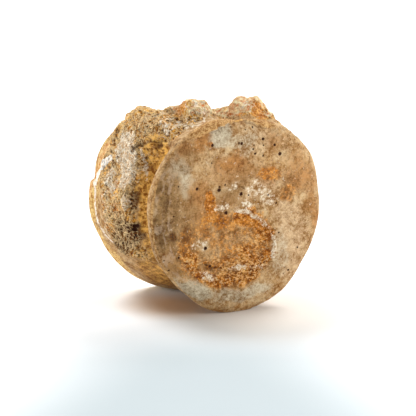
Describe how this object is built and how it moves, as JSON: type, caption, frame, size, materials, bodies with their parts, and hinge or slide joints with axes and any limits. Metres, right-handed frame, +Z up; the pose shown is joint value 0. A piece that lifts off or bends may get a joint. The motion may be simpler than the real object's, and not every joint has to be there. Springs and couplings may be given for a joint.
{
  "type": "fossil plesiosaur vertebra",
  "caption": "Fossil plesiosaur vertebra: a short, waisted spool of bone with dished round faces, rib facets on its flanks and the broken stumps of its arch.",
  "frame": {"origin": "on the floor, under the centre of the bone's box", "axes": "+Z up, -Y the way the front face looks, along the bone's length, +X to the right seen from in front of that face"},
  "size_m": [0.0958, 0.0694, 0.0977],
  "materials": {
    "fossil_bone": "matte mineralised bone, pitted, stained ochre, rust and chalk grey"
  },
  "bodies": {
    "root": {"vertebra": "fossil_bone"}
  },
  "joints": []
}
